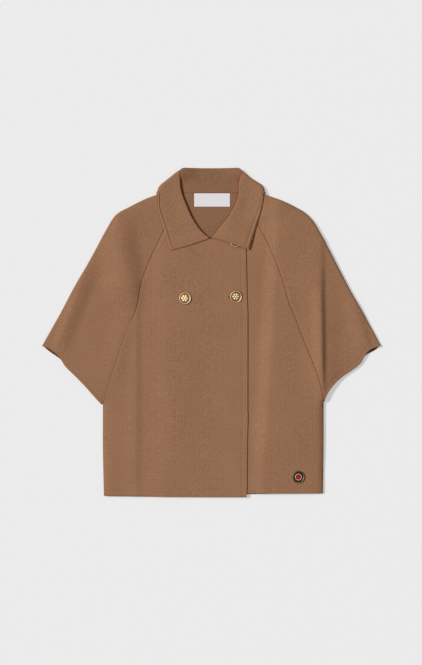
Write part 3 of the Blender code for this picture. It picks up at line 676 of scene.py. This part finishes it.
def rampBy(tree, source, *stops):
    # colour ramp on a node's output; a stop is its position and its colour, from low to high
    ramp = addNode(tree, "ShaderNodeValToRGB", links={0: source})
    elements = ramp.color_ramp.elements
    while len(elements) < len(stops):
        elements.new(0.5)
    for element, (position, colour) in zip(elements, stops):
        element.position = position
        element.color = hexColour(colour) if isinstance(colour, str) else colour
    return ramp


def placeOn(tree):
    # link from the piece's own position, for a texture's input
    return {"Vector": (addNode(tree, "ShaderNodeTexCoord"), "Object")}


def mottle(tree, shader, scale, detail, dark, light):
    # base colour that wanders between two stops with a noise
    noise = addNode(tree, "ShaderNodeTexNoise", {"Scale": scale, "Detail": detail}, placeOn(tree))
    ramp = rampBy(tree, (noise, 0), dark, light)
    tree.links.new(ramp.outputs[0], shader.inputs["Base Color"])


def shadesOf(code, low, high):
    # stops for a darker and a lighter shade of one colour
    colour = np.array(hexColour(code))[:3]
    return (0.0, (*colour * low, 1.0)), (1.0, (*np.minimum(colour * high, 1), 1.0))


def woolKnit():
    # merino double knit, steamed flat: matt, faint upright wales, heathered camel yarn.
    # Real wales stand about 2 mm apart; they are drawn 4.8 mm apart, because 2 mm is one pixel
    # the crease colour below is painted shade for creases and gaps, mixed in by ambient occlusion
    knit = dict(wale=4.8 * mm, course=3.6 * mm, dark="#7e5941", mid="#946d52", light="#a37b5e",
                reverseAndShade=0.38, creaseShade="#8c4624")
    material, tree, shader = newMaterial("wool double knit", Roughness=0.95, Sheen_Weight=0.03,
                                         Sheen_Roughness=0.55, Specular_IOR_Level=0.04)
    shader.inputs["Sheen Tint"].default_value = hexColour("#d8a478")
    uv = addNode(tree, "ShaderNodeUVMap", {"uv_map": "grain"})
    apart = addNode(tree, "ShaderNodeSeparateXYZ", links={0: (uv, 0)})

    def maths(operation, *values):
        # result of one sum; each value is a number or a node's output
        node = tree.nodes.new("ShaderNodeMath")
        node.operation = operation
        for k, value in enumerate(values):
            if isinstance(value, tuple):
                tree.links.new(value[0].outputs[value[1]], node.inputs[k])
            else:
                node.inputs[k].default_value = value
        return (node, 0)

    # a stitch is a V: its row's phase falls away on both sides of the wale's middle
    across = maths("MULTIPLY", (apart, 0), 1 / knit["wale"])
    rib = maths("ABSOLUTE", maths("SUBTRACT", maths("FRACT", across), 0.5))
    row = maths("ADD", maths("MULTIPLY", (apart, 1), 1 / knit["course"]), maths("MULTIPLY", rib, 0.9))
    rowWave = maths("SINE", maths("MULTIPLY", row, 2 * math.pi))
    waleWave = maths("COSINE", maths("MULTIPLY", across, 2 * math.pi))
    height = maths("ADD", maths("MULTIPLY", waleWave, -0.5), maths("MULTIPLY", rowWave, 0.35))
    here = placeOn(tree)
    heather = addNode(tree, "ShaderNodeTexNoise",
                      {"Scale": 520.0, "Detail": 3.0, "Roughness": 0.6}, here)
    cloudy = addNode(tree, "ShaderNodeTexNoise", {"Scale": 14.0, "Detail": 3.0}, here)
    fuzz = addNode(tree, "ShaderNodeTexNoise", {"Scale": 1500.0, "Detail": 2.0}, here)
    shade = maths("ADD", maths("MULTIPLY", height, 0.07), maths("MULTIPLY", (heather, 0), 0.85))
    shade = maths("ADD", shade, maths("MULTIPLY", (cloudy, 0), 0.12))
    ramp = rampBy(tree, shade, (0.28, knit["dark"]), (0.5, knit["mid"]), (0.72, knit["light"]))
    # painted shade: the point value read here darkens the colour, partly for the reverse's duller
    # colour and partly as shade on inner faces, inside the cuffs and inside the neck
    under = addNode(tree, "ShaderNodeAttribute", {"attribute_name": "reverseAndShade"})
    dimmed = addNode(tree, "ShaderNodeMix", {"data_type": "RGBA", "blend_type": "MULTIPLY"},
                   {0: (under, "Fac"), 6: (ramp, 0)})
    dimmed.inputs[7].default_value = (knit["reverseAndShade"],) * 3 + (1.0,)
    # painted shade: where ambient occlusion finds the cloth closed in, its colour is mixed towards a
    # redder crease colour, standing in for the darker, redder light in creases and gaps between layers
    openness = addNode(tree, "ShaderNodeAmbientOcclusion", {"samples": 8, "Distance": 7 * mm})
    share = addNode(tree, "ShaderNodeMapRange", {"From Min": 0.35, "From Max": 0.9},
                    {"Value": (openness, 1)})
    # painted shade: the mix below puts the crease colour where the cloth is closed in
    shaded = addNode(tree, "ShaderNodeMix", {"data_type": "RGBA", 6: hexColour(knit["creaseShade"])},
                     {0: (share, 0), 7: (dimmed, 2)})
    tree.links.new(shaded.outputs[2], shader.inputs["Base Color"])
    relief = maths("ADD", maths("MULTIPLY", height, 0.5), maths("MULTIPLY", (fuzz, 0), 0.5))
    bump = addNode(tree, "ShaderNodeBump", {"Strength": 0.24, "Distance": 0.5 * mm},
                   {"Height": relief})
    tree.links.new(bump.outputs[0], shader.inputs["Normal"])
    return material


def giltBrass():
    # cast brass, gilt and polished on its raised parts, dull and dark in the hollows:
    # each point's patina, 0 to 1, is worked out with the relief
    gilt = dict(bright="#dcbe94", hollow="#8a6a48", fine=900.0)
    material, tree, shader = newMaterial("gilt brass", Metallic=1.0, Roughness=0.28)
    grain = addNode(tree, "ShaderNodeTexNoise", {"Scale": gilt["fine"], "Detail": 3.0},
                    placeOn(tree))
    patina = addNode(tree, "ShaderNodeAttribute", {"attribute_name": "patina"})
    ramp = rampBy(tree, (patina, "Fac"), (0.15, gilt["bright"]), (0.85, gilt["hollow"]))
    tree.links.new(ramp.outputs[0], shader.inputs["Base Color"])
    rough = addNode(tree, "ShaderNodeMapRange", {"To Min": 0.38, "To Max": 0.56}, {"Value": (grain, 0)})
    tree.links.new(rough.outputs[0], shader.inputs["Roughness"])
    return material


def oldBrass():
    # the badge's rims: the same brass, worn and darker
    material, tree, shader = newMaterial("worn brass", Metallic=1.0, Roughness=0.45)
    mottle(tree, shader, 500.0, 3.0, (0.35, "#5c4d30"), (0.65, "#a08a5e"))
    return material


def enamel(name, code):
    # hard enamel: glassy colour with a faint cloudiness under the surface
    material, tree, shader = newMaterial(name, Roughness=0.3, Coat_Weight=0.15, Coat_Roughness=0.08,
                                         Specular_IOR_Level=0.25)
    mottle(tree, shader, 300.0, 2.0, *shadesOf(code, 0.85, 1.12))
    return material


def wovenLabel():
    # damask-woven polyester ribbon: smooth, off-white, fine crosswise threads of 0.5 mm,
    # drawn 1.2 mm apart so that they show
    material, tree, shader = newMaterial("woven label", Roughness=0.6, Sheen_Weight=0.1)
    bands = {"Scale": 2 * math.pi / (20 * 1.2 * mm), "Distortion": 0.3, "bands_direction": "Y"}
    wave = addNode(tree, "ShaderNodeTexWave", bands, placeOn(tree))
    ramp = rampBy(tree, (wave, 1), (0.0, "#d3cfd1"), (1.0, "#e7e3e6"))
    tree.links.new(ramp.outputs[0], shader.inputs["Base Color"])
    bump = addNode(tree, "ShaderNodeBump", {"Strength": 0.2, "Distance": 0.1 * mm},
                   {"Height": (wave, 1)})
    tree.links.new(bump.outputs[0], shader.inputs["Normal"])
    return material


def threadFinish(name, code):
    # mercerised sewing thread: fine twist, slight gloss
    material, tree, shader = newMaterial(name, Roughness=0.7, Sheen_Weight=0.2)
    mottle(tree, shader, 1200.0, 2.0, *shadesOf(code, 0.7, 1.2))
    return material


knitMaterial = woolKnit()
panels = {
    "back": makeBack(), "front_right": makeTopFront(), "front_left": makeUnderFront(),
    **makeSleeve("sleeve_right", rightHand), **makeSleeve("sleeve_left", leftHand),
    "collar": makeCollar(),
}
for node, (piece, middle) in panels.items():
    piece.data.materials.append(knitMaterial)
    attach(piece, "root")
    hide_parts(node)
print("cloth made:", {node: len(piece.data.polygons) for node, (piece, _) in panels.items()})


# Buttons: a turned profile whose rim is roped and whose dome carries a plain rosette
button = dict(radius=11.75, sides=144, ropes=36, petals=6, petalHeight=0.55, ropeHeight=0.14,
              seat=4.0, sink=0.8)      # radius of the shank's seat, and how deep it sits in the cloth
buttonPlaces = dict(button_chest=(-52.6, 68.2), button_edge=(49.0, 71.2), button_neck=buttonNeckAt)
buttonTilt = dict(button_chest=(0.02, -0.03), button_edge=(0.0, 0.09), button_neck=(0.0, -0.05))


def turnedPiece(name, radii, heights, sides, centre, base, relief=None, tilt=(0, 0)):
    # profile (radius, height) turned round a vertical axis; relief adds a height at (radius, angle)
    angle = np.linspace(0, 2 * np.pi, sides, endpoint=False)[:, None]
    r, z = np.broadcast_to(radii, (sides, len(radii))), np.broadcast_to(heights, (sides, len(heights)))
    if relief is not None:
        z = z + relief(r, angle)
    x, y = r * np.cos(angle), r * np.sin(angle)
    z = z + tilt[0] * x + tilt[1] * y
    points = np.stack([x + centre[0], y + centre[1], z], -1).reshape(-1, 3) * mm
    points[:, 2] += base
    n = len(radii)
    index = np.arange(sides * n).reshape(sides, n)
    after = np.roll(index, -1, 0)
    faces = np.stack([index[:, :-1], after[:, :-1], after[:, 1:], index[:, 1:]], -1).reshape(-1, 4)
    # both poles are closed by strips of four-sided faces across their rings
    k = np.arange(sides // 2 - 1)
    strip = np.stack([k, k + 1, sides - 2 - k, sides - 1 - k], -1)
    return meshPiece(name, points, np.concatenate([faces, index[strip[:, ::-1], 0], index[strip, -1]]))


def seatHeight(surface, centre, radius):
    # highest cloth under a round piece
    angle = np.linspace(0, 2 * np.pi, 16)
    x = np.append(centre[0] + radius * np.cos(angle), centre[0]) * mm
    y = np.append(centre[1] + radius * np.sin(angle), centre[1]) * mm
    return float(np.max(surface(x, y))) + cloth["seam"] * mm


def buttonRelief(r, angle):
    # rope round the rim: cos(n a + slant); rosette: petals raised as cos(p a) under a bell;
    # both above the profile's widest point only
    share = r / button["radius"]
    slant = button["ropes"] * angle + share * 20
    rope = button["ropeHeight"] * np.cos(slant) * np.exp(-((share - 0.92) / 0.06) ** 2)
    petal = (0.5 + 0.5 * np.cos(button["petals"] * angle)) ** 0.7
    rosette = button["petalHeight"] * petal * np.exp(-((share - 0.42) / 0.15) ** 2)
    heart = 0.35 * np.exp(-(share / 0.13) ** 2)
    upper = np.arange(r.shape[1]) > np.argmax(r[0]) + 1
    return (rope + rosette + heart) * upper


# radius as a share of the button's, and height in millimetres
buttonKeys = [(0.001, 0.0), (0.30, 0.0), (0.34, 0.1), (0.34, 0.85), (0.40, 0.95), (0.80, 1.0),
              (0.95, 1.4), (1.0, 2.0), (1.0, 2.6), (0.98, 3.1), (0.93, 3.35), (0.87, 3.2), (0.82, 2.6),
              (0.76, 2.2), (0.66, 2.2), (0.56, 2.35), (0.30, 2.55), (0.15, 2.65), (0.001, 2.7)]
brass = giltBrass()
keys = np.array(buttonKeys)
place = sharesOf(keys * np.array([button["radius"], 1]))
fine = np.linspace(0, 1, 90)
radii = np.interp(fine, place, keys[:, 0]) * button["radius"]
heights = np.interp(fine, place, keys[:, 1])
level = heights + buttonRelief(radii[None] + np.zeros((button["sides"], 1)),
                               np.linspace(0, 2 * np.pi, button["sides"], endpoint=False)[:, None])
for node, centre in buttonPlaces.items():
    base = seatHeight(lambda x, y: topFrontBase(x, y) + 2 * half, centre, button["seat"])
    piece = turnedPiece(node + "_gilt", radii, heights, button["sides"], centre,
                        base - button["sink"] * mm, buttonRelief, buttonTilt[node])
    givePointValue(piece, "patina", 1 - stepUp(level, 2.2, 2.9))
    piece.data.materials.append(brass)
    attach(piece, "root")
    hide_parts(node)
print("buttons made")

# Badge: rings of enamel between gilt rims, a generic pattern of circles
badge = dict(centre=(173.2, -288.0), radius=12.0, sides=96)
badgeKeys = [(0.001, 0.0, "rim"), (0.88, 0.0, "rim"), (0.97, 0.3, "rim"), (1.0, 0.7, "rim"),
             (1.0, 1.3, "rim"), (0.96, 1.75, "rim"), (0.92, 1.85, "rim"), (0.88, 1.7, "rim"),
             (0.86, 1.4, "green"), (0.70, 1.5, "green"), (0.55, 1.5, "cream"),
             (0.54, 1.62, "cream"), (0.48, 1.62, "cream"), (0.47, 1.5, "red"), (0.22, 1.6, "red"),
             (0.001, 1.65, "red")]
badgeFinish = [oldBrass(), enamel("green enamel", "#0b160e"), enamel("cream enamel", "#cdbf9c"),
               enamel("red enamel", "#8e0f1f")]
names = ["rim", "green", "cream", "red"]
keys = np.array([(a, b) for a, b, _ in badgeKeys])
steps = 4
fine = np.arange((len(keys) - 1) * steps + 1) / steps
radii = np.interp(fine, np.arange(len(keys)), keys[:, 0]) * badge["radius"]
heights = np.interp(fine, np.arange(len(keys)), keys[:, 1])
base = seatHeight(lambda x, y: upperBase(x, y) + 2 * half, badge["centre"], badge["radius"])
piece = turnedPiece("badge_enamelled", radii, heights, badge["sides"], badge["centre"], base)
for finish in badgeFinish:
    piece.data.materials.append(finish)
zone = np.repeat([names.index(finish) for _, _, finish in badgeKeys[:-1]], steps)
polePart = badge["sides"] // 2 - 1
zones = np.concatenate([np.tile(zone, badge["sides"]), np.repeat(zone[[0, -1]], polePart)])
piece.data.polygons.foreach_set("material_index", zones.astype(np.int32))
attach(piece, "root")
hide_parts("badge")
print("badge made")


# Label: a blank woven ribbon, caught in the back neck seam along its top
label = dict(left=-34.4, right=37.2, low=251.2, high=278.0, thickness=0.6, wave=0.1)


def makeLabel():
    # level ribbon on the back, with a sine wave that grows towards its free lower edge
    x = np.linspace(label["left"], label["right"], 60) * mm
    y = np.linspace(label["low"], label["high"], 26) * mm
    plan = np.stack(np.meshgrid(x, y, indexing="ij"), -1)
    under = withHeight(plan, lambda x, y: backLift(x, y) + layer * mm)
    fromTop = (label["high"] * mm - plan[..., 1]) / (27 * mm)
    under[..., 2] += label["wave"] * mm * (1 + np.sin(plan[..., 0] * 130)) * fromTop
    upper = under + np.array([0, 0, label["thickness"] * mm])
    points = np.concatenate([upper.reshape(-1, 3), under.reshape(-1, 3)])
    return meshPiece("neck_label_woven", points, shellFaces(*plan.shape[:2]))


labelPiece = makeLabel()
labelPiece.data.materials.append(wovenLabel())
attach(labelPiece, "root")
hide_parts("neck_label")
print("label made")


# Buttonhole behind the closing button, its inner end just past the button's rim
def tubeAlong(name, path, radius, sides=8):
    # closed tube round a closed path: circles square to the path's slope
    t = np.roll(path, -1, 0) - np.roll(path, 1, 0)
    t /= np.linalg.norm(t, axis=1)[:, None]
    side = np.cross(t, [0, 0, 1.0])
    side /= np.linalg.norm(side, axis=1)[:, None]
    up = np.cross(side, t)
    a = np.linspace(0, 2 * np.pi, sides, endpoint=False)[None, :, None]
    points = path[:, None] + radius * (np.cos(a) * side[:, None] + np.sin(a) * up[:, None])
    m, n = points.shape[:2]
    index = np.arange(m * n).reshape(m, n)
    faces = np.stack([index, np.roll(index, -1, 0), np.roll(np.roll(index, -1, 0), -1, 1),
                      np.roll(index, -1, 1)], -1).reshape(-1, 4)
    return meshPiece(name, points.reshape(-1, 3), faces)


hole = dict(centre=(45.6, 70.8), length=24.8, width=2.0, thread=0.6)
a = np.linspace(0, 2 * np.pi, 160, endpoint=False)
lengthwise = np.sign(np.cos(a)) * np.abs(np.cos(a)) ** 0.6
ropeShape = np.stack([lengthwise * hole["length"] / 2 + hole["centre"][0],
                      np.sin(a) * hole["width"] / 2 + hole["centre"][1]], 1) * mm
ropeHeight = topFrontBase(ropeShape[:, 0], ropeShape[:, 1]) + 2 * half + 0.25 * mm
path = np.concatenate([ropeShape, ropeHeight[:, None]], 1)
holePiece = tubeAlong("buttonhole_thread", path, hole["thread"] * mm)
holePiece.data.materials.append(threadFinish("buttonhole thread", "#4a2f1e"))
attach(holePiece, "root")
print("buttonhole made")

# Floor, light and camera
# a white light table, lit from below by half, so that shadows on it stay faint
paper = dict(colour="#eaeaea", fromBelow=0.55)
floorMaterial, _, floorShader = newMaterial("light table", Roughness=0.9)
paperColour = np.array(hexColour(paper["colour"]))
floorShader.inputs["Base Color"].default_value = tuple(paperColour * (1 - paper["fromBelow"]))
floorShader.inputs["Emission Color"].default_value = tuple(paperColour)
floorShader.inputs["Emission Strength"].default_value = paper["fromBelow"]
floorMesh = bpy.data.meshes.new("floor")
floorMesh.from_pydata([(-60, -60, 0), (60, -60, 0), (60, 60, 0), (-60, 60, 0)], [], [(0, 1, 2, 3)])
floor = bpy.data.objects.new("floor", floorMesh)
floor.location.z = -0.0002
bpy.context.scene.collection.objects.link(floor)
floor.data.materials.append(floorMaterial)


# Even studio light: white surroundings and one soft sun low at the upper left.
# Together they light level white paper to its own colour: world + sun = 1
light = dict(world=0.31, overhead=0.55, sun=0.69, fromNorth=-72, zenith=41, softness=7)
zenith = math.radians(light["zenith"])
sun = bpy.data.lights.new("key", "SUN")
sun.energy = light["sun"] * math.pi / math.cos(zenith)
sun.angle = math.radians(light["softness"])
lamp = bpy.data.objects.new("key", sun)
lamp.rotation_euler = (-zenith, 0, math.radians(-light["fromNorth"]))
lamp.location = (-2, 1, 2)
bpy.context.scene.collection.objects.link(lamp)
world = bpy.data.worlds.new("studio")
world.use_nodes = True
sky = world.node_tree
direction = addNode(sky, "ShaderNodeTexCoord")
up = addNode(sky, "ShaderNodeSeparateXYZ", links={0: (direction, "Generated")})
squared = addNode(sky, "ShaderNodeMath", {"operation": "POWER", 1: 2.0}, {0: (up, 2)})
# brighter overhead: low + (high - low) * z^2, which lights level paper by low / 2 + high / 2
strength = addNode(sky, "ShaderNodeMapRange", {"To Min": 2 * light["world"] - light["overhead"],
                                               "To Max": light["overhead"]}, {"Value": (squared, 0)})
sky.links.new(strength.outputs[0], sky.nodes["Background"].inputs[1])
sky.nodes["Background"].inputs[0].default_value = (1, 1, 1, 1)
bpy.context.scene.world = world
bpy.context.scene.view_settings.view_transform = "Standard"

view = dict(height=4.0, frameTall=1.33, centre=(-0.001, 0.0))
camera = bpy.data.cameras.new("camera")
camera.sensor_width = 36
camera.lens = 36 * view["height"] / view["frameTall"]
eye = bpy.data.objects.new("camera", camera)
eye.location = (*view["centre"], view["height"])
bpy.context.scene.collection.objects.link(eye)
bpy.context.scene.camera = eye
